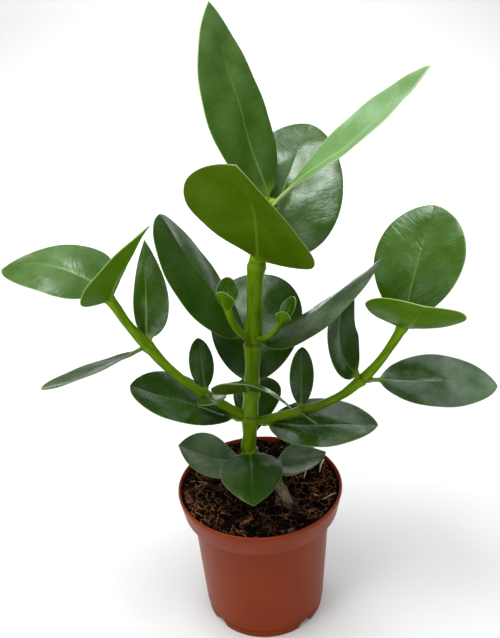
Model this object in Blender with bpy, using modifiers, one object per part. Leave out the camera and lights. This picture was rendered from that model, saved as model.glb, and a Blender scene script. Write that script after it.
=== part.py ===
"""Young autograph tree in a round terracotta-coloured plastic nursery pot.

The pot stands on the floor at z = 0 with its axis on the z axis, and the plant faces -y.
Leaves stand in opposite pairs, each pair turned a quarter turn from the one below it.
"""

import math

import bmesh
import bpy
import numpy as np

MM = 0.001
ORIGIN = (0.0, 0.0, 0.0)

# Nursery pot sizes in millimetres
POT_HEIGHT = 107.0
RIM_RADIUS = 60.0
RIM_BAND_HEIGHT = 18.0
BAND_FOOT_RADIUS = 57.0
NECK_RADIUS = 50.5
FOOT_RADIUS = 44.6
WALL = 1.3
FLOOR_UNDERSIDE = 5.0
CENTRE_PAD_RADIUS = 12.0
POT_STEPS = 48
NOTCH_COUNT = 4
NOTCH_RADIUS = 6.4
NOTCH_CENTRE_Z = -1.2
NOTCH_TURN = 39.5
DRAIN_HOLE_COUNT = 4
DRAIN_HOLE_RADIUS = 3.5
DRAIN_HOLE_CIRCLE = 28.0

# Potting soil
SOIL_LEVEL = 103.0
SOIL_LUMP = 3.0
SOIL_LUMP_SIZE = 13.0
SOIL_STEPS = 32
SOIL_RINGS = 9
SEAT_GAP = 0.3

# Centre lines and radii of the woody stem and its two branches in millimetres
STEM = [
    ("root_end", (24, -28, 74), 4.5),
    ("soil_line", (19, -23, 101), 5.0),
    ("trunk", (13, -13.5, 115), 3.8),
    ("first_pair", (3, -7, 126), 4.4),
    ("second_pair", (-6, 0, 135), 5.4),
    ("stem_low", (-5.5, 0, 149), 4.7),
    ("fork", (-4.5, 0, 162.5), 5.6),
    ("centre_pair", (-2.7, 0, 182), 5.2),
    ("stem_middle", (-1, 0, 201), 4.9),
    ("middle_pair", (0, 0, 219.5), 5.6),
    ("stem_high", (2.5, 0, 248), 4.9),
    ("upper_pair", (5, 0, 275.5), 5.4),
    ("stem_top", (10, 0, 295), 4.3),
    ("top_pair", (15.5, 0, 313), 4.4),
    ("top_bud", (17, 0, 319), 2.2),
]
LEFT_BRANCH = [
    ("left_start", (-4.5, 0, 161.5), 3.2),
    ("left_small_pair", (-34, -4, 185.5), 3.4),
    ("left_bend", (-52, -6, 203), 2.9),
    ("left_middle_pair", (-69, -8, 227), 3.7),
    ("left_rise", (-80, -11, 246), 2.9),
    ("left_end_pair", (-89, -14, 265.5), 3.3),
    ("left_bud", (-92, -15.5, 271), 2.2),
]
RIGHT_BRANCH = [
    ("right_start", (-4.5, 0, 158.5), 3.2),
    ("right_small_pair", (31, -3, 168), 3.3),
    ("right_bend", (53, -5, 177), 2.8),
    ("right_middle_pair", (72, -7, 192.5), 3.6),
    ("right_rise", (87, -10, 213), 2.8),
    ("right_end_pair", (97, -12, 233), 3.3),
    ("right_bud", (99.5, -13, 239), 2.2),
]

# Leaf blade
BLADE_THICKNESS = 0.9
STALK_THICKNESS = 2.6
STALK_WIDTH = 3.2
LEAF_COLUMNS = 4
LEAF_ROWS = 9
SMALL_LEAF_ROWS = 6
SMALL_LEAF_WIDTH = 20

# Each leaf: stem joint it grows from, tip point and width in millimetres, then its shape.
# roll, fold and twist are degrees; bow, sway, hook, curl and lobe are millimetres;
# full and taper are the powers of the outline at its base and tip, one for both sides or a pair.
LEAVES = {
    "leaf_top_left": dict(joint="top_pair", tip=(-16, 42, 430), width=55, roll=12, fold=4, curl=-2,
                          bow=3, sway=5, lop=0.1, full=(0.5, 0.65), taper=(0.8, 0.95)),
    "leaf_top_right": dict(joint="top_pair", tip=(93, -62, 397), width=37, roll=34, fold=15, bow=-2,
                           hook=5, full=1.0, taper=0.85, petiole=18),
    "leaf_upper_front": dict(joint="upper_pair", tip=(-4, -64, 354), width=80, roll=-20, fold=-14,
                             curl=-3, bow=4, sway=3, twist=-25, lop=0.05, full=(1.0, 0.6),
                             taper=(0.58, 0.9)),
    "leaf_upper_back": dict(joint="upper_pair", tip=(46, 58, 352), width=74, roll=18, fold=8, curl=-3,
                            bow=6, lop=-0.1, full=(0.38, 0.5), taper=(0.65, 0.6)),
    "leaf_middle_left": dict(joint="middle_pair", tip=(-56, 20, 307), width=54, roll=-6, fold=-12,
                             sway=2, twist=20, full=(0.85, 0.6), taper=(0.42, 0.55)),
    "leaf_middle_right": dict(joint="middle_pair", tip=(81, -22, 285), width=60, fold=-10, bow=-4,
                              full=0.65, taper=0.85),
    "leaf_centre_front": dict(joint="centre_pair", tip=(-11, -75, 233), width=50, roll=2, curl=-12,
                              bow=4, lobe=-3, lop=0.25, full=0.7, taper=0.5),
    "leaf_centre_back": dict(joint="centre_pair", tip=(8, 60, 247), width=66, fold=3, curl=-2, bow=4,
                             full=0.6, taper=0.45),
    "leaf_fork_left": dict(joint="fork", start=(-5, -1, -1), tip=(-83, -12, 200), width=40, roll=-25,
                           fold=6, lop=-0.06, full=(0.95, 0.7), taper=(0.7, 0.5)),
    "leaf_fork_right": dict(joint="fork", start=(5, -1, -4), tip=(82, -18, 163), width=48, roll=12,
                            fold=8, bow=-1, full=0.6, taper=0.7),
    "leaf_low_front": dict(joint="second_pair", tip=(-5, -52, 128), width=44, fold=4, curl=-2, bow=3,
                           full=0.5, taper=0.8, petiole=4),
    "leaf_low_back": dict(joint="second_pair", tip=(5, 40, 173), width=36, fold=6, bow=4, full=1.2,
                          taper=0.5),
    "leaf_base_left": dict(joint="first_pair", tip=(-58, 10, 136), width=43, roll=-5, fold=6, bow=-2,
                           sway=2, full=(1.4, 0.8), taper=(0.6, 1.0)),
    "leaf_base_right": dict(joint="first_pair", tip=(48, -5, 134), width=46, roll=-10, fold=8, bow=-3,
                            sway=-3, lop=0.15, full=(0.45, 0.6), taper=0.85),
    "leaf_left_small_back": dict(joint="left_small_pair", tip=(-37, 8, 223), width=17, fold=4, full=0.6,
                                 taper=0.6, petiole=4),
    "leaf_left_small_front": dict(joint="left_small_pair", tip=(-25, -30, 194), width=20, roll=8,
                                  fold=4, full=0.5, taper=0.5, petiole=3),
    "leaf_left_inner": dict(joint="left_middle_pair", tip=(-66, 12, 293), width=24, fold=-6, lop=-0.25,
                            full=0.5, taper=0.95, petiole=5),
    "leaf_left_outer": dict(joint="left_middle_pair", tip=(-139, -20, 206), width=32, roll=12, fold=6,
                            bow=-2, full=0.75, taper=0.5),
    "leaf_left_end_back": dict(joint="left_end_pair", start=(-1, 2, 2), tip=(-156, 0, 282), width=48,
                               roll=-24, fold=2, curl=-2, bow=9, sway=-4, lop=-0.1,
                               full=(0.22, 0.35), taper=(1.0, 0.55), petiole=5),
    "leaf_left_end_front": dict(joint="left_end_pair", start=(1, -2, -2), tip=(-53, -52, 321), width=44,
                                roll=15, fold=19, sway=-5, full=0.3, taper=1.0, petiole=2),
    "leaf_right_small_back": dict(joint="right_small_pair", tip=(34, 10, 211), width=17, fold=4,
                                  full=0.6, taper=0.6, petiole=4),
    "leaf_right_small_front": dict(joint="right_small_pair", tip=(40, -24, 170), width=15, roll=-48,
                                   fold=4, bow=-1, full=0.6, taper=0.6, petiole=4),
    "leaf_right_inner": dict(joint="right_middle_pair", tip=(69, 10, 257), width=34, roll=38, fold=8,
                             bow=-4, sway=17, lop=-0.1, full=0.5, taper=0.8, petiole=5),
    "leaf_right_outer": dict(joint="right_middle_pair", tip=(159, -22, 191), width=46, roll=20, fold=4,
                             bow=2, full=0.65, taper=0.68, petiole=12),
    "leaf_right_end_back": dict(joint="right_end_pair", tip=(123, 25, 302), width=60, fold=2, bow=2,
                                full=0.7, taper=0.6, petiole=4),
    "leaf_right_end_front": dict(joint="right_end_pair", tip=(97, -62, 269), width=60, roll=-14, fold=5,
                                 curl=3, bow=-3, full=0.5, taper=0.4, petiole=4),
}

# Two short side shoots in the axils of the middle pair, each with a cupped pair of leaflets
SHOOTS = {
    "shoot_left": dict(
        path=[
            ((-1, -2, 223), 2.4),
            ((-7, -9, 233), 2.3),
            ((-12.5, -14, 244), 2.2),
            ((-15, -17, 256), 2.4),
        ],
        leaflets=[
            dict(base=(-14.5, -16, 254), tip=(-13.8, -10, 273), width=14.5, curl=4, bow=-3, full=0.5,
                 taper=0.5),
            dict(base=(-15, -17, 254), tip=(-16.5, -27, 270), width=13, roll=-15, curl=4, bow=-3,
                 full=0.5, taper=0.5),
        ],
    ),
    "shoot_right": dict(
        path=[
            ((2, -3, 225), 1.9),
            ((8, -12, 230), 1.8),
            ((14, -18, 237), 1.7),
            ((18, -21, 246), 1.8),
        ],
        leaflets=[
            dict(base=(17.5, -20, 244), tip=(27.3, -14, 259), width=13, curl=3, bow=-3, full=0.5,
                 taper=0.5),
            dict(base=(18, -21, 244), tip=(20.5, -29, 255.5), width=10.5, roll=-35, curl=3, bow=-3,
                 full=0.5, taper=0.5),
        ],
    ),
}

POT_COLOUR = (0.42, 0.13, 0.08)
SOIL_COLOUR = (0.035, 0.02, 0.014)
STEM_COLOUR = (0.16, 0.24, 0.03)
LEAF_COLOUR = (0.035, 0.12, 0.03)
YOUNG_LEAF_COLOUR = (0.10, 0.26, 0.02)


def clear_scene():
    for obj in list(bpy.data.objects):
        bpy.data.objects.remove(obj, do_unlink=True)


def make_collection(name, hidden=False):
    collection = bpy.data.collections.new(name)
    bpy.context.scene.collection.children.link(collection)
    collection.hide_render = hidden
    return collection


def plain_material(name, colour, roughness):
    material = bpy.data.materials.new(name)
    material.use_nodes = True
    shader = material.node_tree.nodes["Principled BSDF"]
    shader.inputs["Base Color"].default_value = (*colour, 1.0)
    shader.inputs["Roughness"].default_value = roughness
    return material


def add_object(name, mesh, collection, material=None):
    obj = bpy.data.objects.new(name, mesh)
    collection.objects.link(obj)
    if material:
        mesh.materials.append(material)
    return obj


def make_cutter(obj):
    obj.hide_render = True
    obj.display_type = "WIRE"


def shade_smooth(mesh):
    for polygon in mesh.polygons:
        polygon.use_smooth = True


def mesh_from_bmesh(name, shape):
    mesh = bpy.data.meshes.new(name)
    shape.to_mesh(mesh)
    shape.free()
    return mesh


def profile_mesh(name, points):
    """A line of points in the x-z plane, from the top of the outer side round to the axis."""
    shape = bmesh.new()
    verts = [shape.verts.new((radius * MM, 0.0, height * MM)) for radius, height in points]
    for first, second in zip(verts, verts[1:]):
        shape.edges.new((first, second))
    return mesh_from_bmesh(name, shape)


def add_screw(obj, steps):
    screw = obj.modifiers.new("turn", "SCREW")
    screw.axis = "Z"
    screw.steps = steps
    screw.render_steps = steps
    screw.use_merge_vertices = True
    screw.merge_threshold = 0.0001
    screw.use_smooth_shade = True


def add_cut(obj, cutter, name):
    cut = obj.modifiers.new(name, "BOOLEAN")
    cut.operation = "DIFFERENCE"
    cut.solver = "EXACT"
    cut.object = cutter


def cylinder_cutter(name, radius, depth, centre, rotation, sides, collection):
    shape = bmesh.new()
    bmesh.ops.create_cone(shape, cap_ends=True, segments=sides, radius1=radius * MM, radius2=radius * MM,
                          depth=depth * MM)
    obj = add_object(name, mesh_from_bmesh(name, shape), collection)
    obj.location = [value * MM for value in centre]
    obj.rotation_euler = rotation
    make_cutter(obj)
    return obj


def make_pot(parts, cutters):
    """One moulded shell: rim band, tapered wall, skirt foot with notches, raised floor, centre pad."""
    band_foot = POT_HEIGHT - RIM_BAND_HEIGHT
    outside = [
        (RIM_RADIUS - 0.7, POT_HEIGHT),
        (RIM_RADIUS, POT_HEIGHT - 0.8),
        (RIM_RADIUS - 0.2, POT_HEIGHT - 2.6),
        (BAND_FOOT_RADIUS, band_foot + 1.4),
        (BAND_FOOT_RADIUS - 0.8, band_foot + 0.4),
        (BAND_FOOT_RADIUS - 2.0, band_foot),
        (NECK_RADIUS, band_foot - 1.0),
        (FOOT_RADIUS + 0.9, 8.4),
        (FOOT_RADIUS, 7.4),
        (FOOT_RADIUS, 0.6),
        (FOOT_RADIUS - 0.6, 0.0),
    ]
    skirt_inner = FOOT_RADIUS - 4.0
    underside = [
        (skirt_inner, 0.0),
        (skirt_inner, FLOOR_UNDERSIDE),
        (CENTRE_PAD_RADIUS + 0.8, FLOOR_UNDERSIDE),
        (CENTRE_PAD_RADIUS, 0.0),
        (0.0, 0.0),
    ]
    floor_top = FLOOR_UNDERSIDE + WALL
    inside = [
        (0.0, floor_top),
        (FOOT_RADIUS - 3.4, floor_top),
        (FOOT_RADIUS - 0.9, floor_top + 1.6),
        (NECK_RADIUS - WALL, band_foot + 0.2),
        (BAND_FOOT_RADIUS - WALL - 1.2, band_foot + 1.5),
        (BAND_FOOT_RADIUS - WALL, band_foot + 2.6),
        (RIM_RADIUS - WALL - 0.4, POT_HEIGHT - 1.0),
        (RIM_RADIUS - WALL - 0.1, POT_HEIGHT),
        (RIM_RADIUS - 0.7, POT_HEIGHT),
    ]
    mesh = profile_mesh("pot", outside + underside + inside)
    pot = add_object("pot", mesh, parts, plain_material("terracotta_plastic", POT_COLOUR, 0.5))
    add_screw(pot, POT_STEPS)
    for index in range(NOTCH_COUNT):
        turn = math.radians(NOTCH_TURN + 360 * index / NOTCH_COUNT)
        reach = FOOT_RADIUS - 2.0
        centre = (reach * math.cos(turn), reach * math.sin(turn), NOTCH_CENTRE_Z)
        notch = cylinder_cutter(f"cut_notch_{index}", NOTCH_RADIUS, 12.0, centre,
                                (0.0, math.radians(90), turn), 28, cutters)
        add_cut(pot, notch, f"notch_{index}")
    for index in range(DRAIN_HOLE_COUNT):
        turn = math.radians(360 * index / DRAIN_HOLE_COUNT)
        centre = (DRAIN_HOLE_CIRCLE * math.cos(turn), DRAIN_HOLE_CIRCLE * math.sin(turn),
                  FLOOR_UNDERSIDE + WALL / 2)
        hole = cylinder_cutter(f"cut_drain_{index}", DRAIN_HOLE_RADIUS, 4.0, centre, ORIGIN, 16, cutters)
        add_cut(pot, hole, f"drain_{index}")


def make_soil(parts, cutters, trunk_clearance):
    """The filled inside of the pot: a solid with a lumpy top and a plain hole for the trunk."""
    band_foot = POT_HEIGHT - RIM_BAND_HEIGHT
    floor = FLOOR_UNDERSIDE + WALL + SEAT_GAP
    band_slope = (RIM_RADIUS - 0.4 - BAND_FOOT_RADIUS) / (RIM_BAND_HEIGHT - 3.6)
    edge_radius = BAND_FOOT_RADIUS - WALL - SEAT_GAP + band_slope * (SOIL_LEVEL - band_foot - 3.6)
    top = [(edge_radius * (1 - ring / SOIL_RINGS), SOIL_LEVEL) for ring in range(1, SOIL_RINGS + 1)]
    rest = [
        (edge_radius, SOIL_LEVEL - 1.0),
        (BAND_FOOT_RADIUS - WALL - SEAT_GAP, band_foot + 2.9),
        (BAND_FOOT_RADIUS - WALL - 1.6, band_foot + 1.9),
        (NECK_RADIUS - WALL - SEAT_GAP - 0.2, band_foot + 0.4),
        (FOOT_RADIUS - 1.3, floor + 1.7),
        (FOOT_RADIUS - 3.6, floor),
        (0.0, floor),
    ]
    mesh = profile_mesh("soil", list(reversed(top)) + rest)
    soil = add_object("soil", mesh, parts, plain_material("potting_soil", SOIL_COLOUR, 0.95))
    lumpy = soil.vertex_groups.new(name="lumpy")
    lumpy.add(range(SOIL_RINGS), 1.0, "REPLACE")
    add_screw(soil, SOIL_STEPS)
    clouds = bpy.data.textures.new("soil_lumps", "CLOUDS")
    clouds.noise_scale = SOIL_LUMP_SIZE * MM
    clouds.noise_depth = 1
    lumps = soil.modifiers.new("lumps", "DISPLACE")
    lumps.texture = clouds
    lumps.texture_coords = "LOCAL"
    lumps.direction = "Z"
    lumps.mid_level = 0.5
    lumps.strength = 2 * SOIL_LUMP * MM
    lumps.vertex_group = "lumpy"
    add_cut(soil, trunk_clearance, "trunk_hole")


def tube(name, points, radii, sides, collection, material=None):
    """A round tapered rod along a smooth line, made as a bevelled curve and turned into a mesh."""
    curve = bpy.data.curves.new(name + "_line", "CURVE")
    curve.dimensions = "3D"
    curve.bevel_depth = MM
    curve.bevel_resolution = sides // 2 - 2
    curve.resolution_u = 3
    curve.use_fill_caps = True
    spline = curve.splines.new("BEZIER")
    spline.bezier_points.add(len(points) - 1)
    for knot, place, radius in zip(spline.bezier_points, points, radii):
        knot.co = [value * MM for value in place]
        knot.radius = radius
        knot.handle_left_type = "AUTO"
        knot.handle_right_type = "AUTO"
    line = bpy.data.objects.new(name + "_line", curve)
    collection.objects.link(line)
    bpy.context.view_layer.update()
    evaluated = line.evaluated_get(bpy.context.evaluated_depsgraph_get())
    mesh = bpy.data.meshes.new_from_object(evaluated)
    mesh.name = name
    shape = bmesh.new()
    shape.from_mesh(mesh)
    bmesh.ops.remove_doubles(shape, verts=shape.verts, dist=0.00001)
    bmesh.ops.recalc_face_normals(shape, faces=shape.faces)
    shape.to_mesh(mesh)
    shape.free()
    mesh.materials.clear()
    shade_smooth(mesh)
    obj = add_object(name, mesh, collection, material)
    obj.matrix_world = line.matrix_world
    bpy.data.objects.remove(line, do_unlink=True)
    return obj


def clearance(name, joints, sides, cutters):
    """The same rod a seat gap larger, which keeps what grows from it just clear of it."""
    points = [np.array(place, float) for _, place, _ in joints]
    points[0] = points[0] - 2 * SEAT_GAP * unit(points[1] - points[0])
    points[-1] = points[-1] + 2 * SEAT_GAP * unit(points[-1] - points[-2])
    radii = [radius + SEAT_GAP for _, _, radius in joints]
    obj = tube(name, points, radii, sides, cutters)
    make_cutter(obj)
    return obj


def rod(name, joints, sides, parts, material):
    points = [place for _, place, _ in joints]
    radii = [radius for _, _, radius in joints]
    return tube(name, points, radii, sides, parts, material)


def unit(vector):
    return vector / np.linalg.norm(vector, axis=-1, keepdims=True)


def blade_points(along, across, base, tip, width, roll=0, fold=0, curl=0, bow=0, sway=0, hook=0,
                 twist=0, lobe=0, lop=0, full=0.7, taper=0.7, petiole=8):
    """Points of a leaf's middle surface: along runs 0 to 1 from stem to tip, across -1 to 1."""
    base = np.array(base, float)
    chord = np.array(tip, float) - base
    length = np.linalg.norm(chord)
    forward = chord / length
    side = unit(np.cross((0.0, 0.0, 1.0), forward))
    upper = np.cross(forward, side)
    angle = math.radians(roll)
    side, upper = (math.cos(angle) * side + math.sin(angle) * upper,
                   -math.sin(angle) * side + math.cos(angle) * upper)
    t = along[:, None]
    hump = 4 * t * (1 - t)
    slope = 4 * (1 - 2 * t)
    centre = base + chord * t + upper * (bow + hook * (1 - 2 * t)) * hump + side * sway * hump
    rise = bow * slope + hook * 4 * ((1 - 2 * t) ** 2 - 2 * t * (1 - t))
    tangent = unit(chord + upper * rise + side * sway * slope)
    lateral = unit(np.cross(upper, tangent))
    normal = np.cross(tangent, lateral)
    turn = math.radians(twist) * (t - 0.5)
    lateral, normal = (np.cos(turn) * lateral + np.sin(turn) * normal,
                       -np.sin(turn) * lateral + np.cos(turn) * normal)
    blade = np.clip((along - petiole / length) / (1 - petiole / length), 0, 1)
    full = np.where(across < 0, *np.broadcast_to(full, 2))
    taper = np.where(across < 0, *np.broadcast_to(taper, 2))
    widest = full / (full + taper)
    outline = blade ** full * (1 - blade) ** taper / (widest ** full * (1 - widest) ** taper)
    half = np.maximum(width / 2 * outline, STALK_WIDTH / 2 * np.sqrt(1 - blade))
    half = np.maximum(half, 0.4)
    x = across * half * (1 + lop * across)
    v = math.radians(fold)
    lift = np.abs(x) * math.sin(v) + curl * (x / (width / 2)) ** 2
    lift += lobe * np.minimum(across, 0) ** 2 * np.cos(math.pi * blade) * half / (width / 2)
    return centre + lateral * (x * math.cos(v))[:, None] + normal * lift[:, None], blade


def leaf_object(name, spec, rows, collection, material):
    """A flat grid moved onto the leaf's surface, cut into triangles, then given its thickness."""
    shape = bmesh.new()
    bmesh.ops.create_grid(shape, x_segments=LEAF_COLUMNS, y_segments=rows, size=1.0)
    flat = np.array([vert.co for vert in shape.verts])
    points, blade = blade_points((flat[:, 1] + 1) / 2, flat[:, 0], **spec)
    for vert, point in zip(shape.verts, points):
        vert.co = point * MM
    bmesh.ops.triangulate(shape, faces=shape.faces)
    mesh = mesh_from_bmesh(name, shape)
    shade_smooth(mesh)
    obj = add_object(name, mesh, collection, material)
    stalk = obj.vertex_groups.new(name="stalk")
    for index, (place, across) in enumerate(zip(blade, flat[:, 0])):
        weight = max(0.0, 1 - place / 0.3) * (1 - 0.6 * abs(across) * min(1.0, place / 0.05))
        stalk.add([index], weight, "REPLACE")
    thickness = obj.modifiers.new("thickness", "SOLIDIFY")
    thickness.thickness = STALK_THICKNESS * MM
    thickness.offset = 0.0
    thickness.vertex_group = "stalk"
    thickness.thickness_vertex_group = BLADE_THICKNESS / STALK_THICKNESS
    return obj


def make_leaf(name, spec, joints, clearances, parts, material):
    spec = dict(spec)
    joint = spec.pop("joint")
    base = np.array(joints[joint], float) + np.array(spec.pop("start", ORIGIN), float)
    rows = SMALL_LEAF_ROWS if spec["width"] <= SMALL_LEAF_WIDTH else LEAF_ROWS
    leaf = leaf_object(name, dict(spec, base=base), rows, parts, material)
    for owner, body in clearances.items():
        if joint in owner or joint == "fork":
            add_cut(leaf, body, "seat_on_" + body.name)


def make_shoot(name, spec, trunk_clearance, parts, cutters, material):
    """A short green stem with its two leaflets joined into one piece."""
    points = [place for place, _ in spec["path"]]
    radii = [radius for _, radius in spec["path"]]
    shoot = tube(name, points, radii, 8, parts, material)
    for index, leaflet in enumerate(spec["leaflets"]):
        blade = leaf_object(f"{name}_leaflet_{index}", dict(leaflet, petiole=2), 5, cutters, material)
        make_cutter(blade)
        join = shoot.modifiers.new(f"leaflet_{index}", "BOOLEAN")
        join.operation = "UNION"
        join.solver = "EXACT"
        join.object = blade
    add_cut(shoot, trunk_clearance, "seat")


def build():
    clear_scene()
    parts = make_collection("potted_autograph_tree")
    cutters = make_collection("cutters", hidden=True)
    bark = plain_material("green_stem", STEM_COLOUR, 0.5)
    dark = plain_material("leaf_green", LEAF_COLOUR, 0.35)
    young = plain_material("young_leaf_green", YOUNG_LEAF_COLOUR, 0.35)
    stem_clearance = clearance("clear_stem", STEM, 12, cutters)
    left_clearance = clearance("clear_left", LEFT_BRANCH, 10, cutters)
    right_clearance = clearance("clear_right", RIGHT_BRANCH, 10, cutters)
    make_pot(parts, cutters)
    make_soil(parts, cutters, stem_clearance)
    rod("stem", STEM, 12, parts, bark)
    for name, joints in (("branch_left", LEFT_BRANCH), ("branch_right", RIGHT_BRANCH)):
        branch = rod(name, joints, 10, parts, bark)
        add_cut(branch, stem_clearance, "seat")
    joints = {name: place for name, place, _ in STEM + LEFT_BRANCH + RIGHT_BRANCH}
    clearances = {
        tuple(name for name, _, _ in STEM): stem_clearance,
        tuple(name for name, _, _ in LEFT_BRANCH): left_clearance,
        tuple(name for name, _, _ in RIGHT_BRANCH): right_clearance,
    }
    for name, spec in LEAVES.items():
        tip_leaf = spec["joint"] in ("top_pair", "left_end_pair", "right_end_pair")
        make_leaf(name, spec, joints, clearances, parts, young if tip_leaf else dark)
    for name, spec in SHOOTS.items():
        make_shoot(name, spec, stem_clearance, parts, cutters, young)


build()
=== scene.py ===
"""Looks of a young autograph tree in a round terracotta-coloured plastic nursery pot.

The file follows the object as it is put together: the pot, the soil in it, the woody stem and its
two branches, the leaves pair by pair, and the small side shoots. Plant sizes are in millimetres.
"""

import math
import random

import bpy
import numpy as np
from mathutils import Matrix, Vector, geometry, noise


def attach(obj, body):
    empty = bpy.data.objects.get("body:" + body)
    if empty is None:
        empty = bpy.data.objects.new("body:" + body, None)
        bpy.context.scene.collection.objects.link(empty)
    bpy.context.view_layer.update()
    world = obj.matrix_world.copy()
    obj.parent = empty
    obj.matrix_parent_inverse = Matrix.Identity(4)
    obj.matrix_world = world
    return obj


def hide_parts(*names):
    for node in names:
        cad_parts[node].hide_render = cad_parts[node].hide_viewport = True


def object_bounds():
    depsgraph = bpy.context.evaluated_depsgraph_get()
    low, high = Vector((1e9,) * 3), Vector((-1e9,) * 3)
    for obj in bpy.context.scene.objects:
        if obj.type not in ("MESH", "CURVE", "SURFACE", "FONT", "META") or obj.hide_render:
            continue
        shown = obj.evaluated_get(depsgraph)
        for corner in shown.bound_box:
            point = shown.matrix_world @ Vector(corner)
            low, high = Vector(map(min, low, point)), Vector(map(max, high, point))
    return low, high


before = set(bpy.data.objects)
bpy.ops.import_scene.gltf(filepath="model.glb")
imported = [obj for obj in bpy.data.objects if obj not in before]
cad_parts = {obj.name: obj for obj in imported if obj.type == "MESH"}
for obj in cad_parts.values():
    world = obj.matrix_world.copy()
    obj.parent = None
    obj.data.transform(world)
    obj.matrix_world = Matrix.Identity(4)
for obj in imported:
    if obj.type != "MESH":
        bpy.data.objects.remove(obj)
cad_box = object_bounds()
MM = 0.001

# The photograph's view
# A short lens a little over half a metre away, above the leaves, looking down at the plant.
# The camera is turned three degrees, so the pot leans slightly in the picture.
LENS_LENGTH = 40.0
SENSOR_HEIGHT = 36.0
CAMERA_PLACE = (-0.00098, -0.4243, 0.4317)
LOOK_DOWN = math.radians(24.45)
CAMERA_TURN = math.radians(-3.0)


def deselect_all():
    bpy.ops.object.select_all(action="DESELECT")


deselect_all()
bpy.ops.object.camera_add(location=CAMERA_PLACE)
camera = bpy.context.object
camera.name = "camera"
camera.rotation_mode = "ZYX"
camera.rotation_euler = (math.pi / 2 - LOOK_DOWN, 0.0, CAMERA_TURN)
camera.data.lens = LENS_LENGTH
camera.data.sensor_width = SENSOR_HEIGHT
camera.data.clip_start = 0.01
bpy.context.scene.camera = camera
bpy.context.scene.view_settings.view_transform = "Standard"


# Studio
# A pale seamless paper sweep under and behind the plant, inside a white light tent that is dim at
# its foot and brightest overhead. Leaves that lie flat mirror the tent's upper part as a grey sheen,
# upright ones and undersides stay deep green, and the soft boxes add bright patches.
SWEEP_WIDTH = 6.0
SWEEP_DEPTH = 5.0
SWEEP_BEND = 0.4
SWEEP_RISE = 0.62
SWEEP_STEPS = 24
PAPER = "#d0d0cf"
PAPER_GRAINS_PER_METRE = 900.0
SOFT_BOXES = {
    "overhead_box": dict(place=(-0.22, -0.18, 1.40), aim=(0.0, 0.0, 0.22), size=0.5, power=12.0),
    "left_box": dict(place=(-0.95, -0.80, 0.75), aim=(0.0, 0.0, 0.20), size=0.7, power=3.4),
    "front_box": dict(place=(0.12, -1.25, 0.45), aim=(0.0, 0.0, 0.25), size=0.45, power=2.0),
    "back_left_box": dict(place=(-0.95, 1.50, 1.20), aim=(0.0, 0.0, 0.20), size=0.8, power=4.0),
    "back_right_box": dict(place=(0.65, 1.60, 1.20), aim=(0.0, 0.0, 0.20), size=0.7, power=3.5),
    "paper_box": dict(place=(0.0, 1.30, 1.50), aim=(0.0, 2.60, 0.15), size=1.5, power=34.0),
}
TENT = "#f3f6f8"
TENT_FOOT_STRENGTH = 0.12
TENT_TOP_STRENGTH = 2.1


def colour(code):
    """An sRGB hex value as the linear colour that a shader takes."""
    parts = [int(code[start:start + 2], 16) / 255 for start in (1, 3, 5)]
    linear = [c / 12.92 if c <= 0.04045 else ((c + 0.055) / 1.055) ** 2.4 for c in parts]
    return (*linear, 1.0)


def set_or_link(tree, socket, value):
    """Fills a socket with a number or hex colour, or links it to a socket or a node's first output."""
    if isinstance(value, bpy.types.Node):
        value = next(output for output in value.outputs if output.enabled)
    if isinstance(value, bpy.types.NodeSocket):
        tree.links.new(value, socket)
    else:
        socket.default_value = colour(value) if isinstance(value, str) else value


def finish_with(material, socket, value):
    """Sets or links a socket of the material's own shader."""
    shader = material.node_tree.nodes["Principled BSDF"]
    set_or_link(material.node_tree, shader.inputs[socket], value)


def new_material(name, base, roughness, **constants):
    """A material with these constants set on its own shader's sockets."""
    material = bpy.data.materials.new(name)
    material.use_nodes = True
    finish_with(material, "Base Color", base)
    finish_with(material, "Roughness", roughness)
    for socket, value in constants.items():
        finish_with(material, socket.replace("_", " "), value)
    return material


def add_node(material, kind, inputs=(), **settings):
    """Adds a shader node with its settings; its inputs are given by name, or in the order it shows."""
    node = material.node_tree.nodes.new("ShaderNode" + kind)
    for key, value in settings.items():
        setattr(node, key, value)
    if isinstance(inputs, dict):
        filled = [(node.inputs[key], value) for key, value in inputs.items()]
    else:
        filled = list(zip([socket for socket in node.inputs if socket.enabled], inputs))
    for socket, value in filled:
        set_or_link(material.node_tree, socket, value)
    return node


def select_only(piece):
    deselect_all()
    piece.select_set(True)
    bpy.context.view_layer.objects.active = piece


def select_edges(piece, wanted):
    """Selects the edges whose two ends pass the test, in edit mode."""
    bpy.ops.object.mode_set(mode="OBJECT")
    for edge in piece.data.edges:
        edge.select = all(wanted(piece.data.vertices[index].co) for index in edge.vertices)
    bpy.ops.object.mode_set(mode="EDIT")


# Seamless paper: a matt pale grey sheet with a grain that barely shows.
paper = new_material("seamless_paper", PAPER, 0.85)
place = add_node(paper, "TexCoord").outputs["Object"]
grain = add_node(paper, "TexNoise", [place, PAPER_GRAINS_PER_METRE])
grain_bump = add_node(paper, "Bump", {"Height": grain, "Strength": 0.02, "Distance": 0.0002})
finish_with(paper, "Normal", grain_bump)

deselect_all()
bpy.ops.mesh.primitive_plane_add(size=1.0)
sweep = bpy.context.object
sweep.name = "paper_sweep"
bpy.ops.object.mode_set(mode="EDIT")
bpy.ops.transform.resize(value=(SWEEP_WIDTH, SWEEP_DEPTH, 1.0))
bpy.ops.mesh.select_all(action="DESELECT")
select_edges(sweep, lambda end: end.y > 0)
bpy.ops.mesh.select_mode(type="EDGE")
bpy.ops.mesh.extrude_region_move(TRANSFORM_OT_translate={"value": (0.0, 0.0, SWEEP_RISE)})
select_edges(sweep, lambda end: end.y > 0 and end.z < SWEEP_RISE / 2)
bpy.ops.mesh.bevel(offset=SWEEP_BEND, segments=SWEEP_STEPS, affect="EDGES")
bpy.ops.object.mode_set(mode="OBJECT")
bpy.ops.object.shade_smooth()
sweep.data.materials.append(paper)

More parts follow.
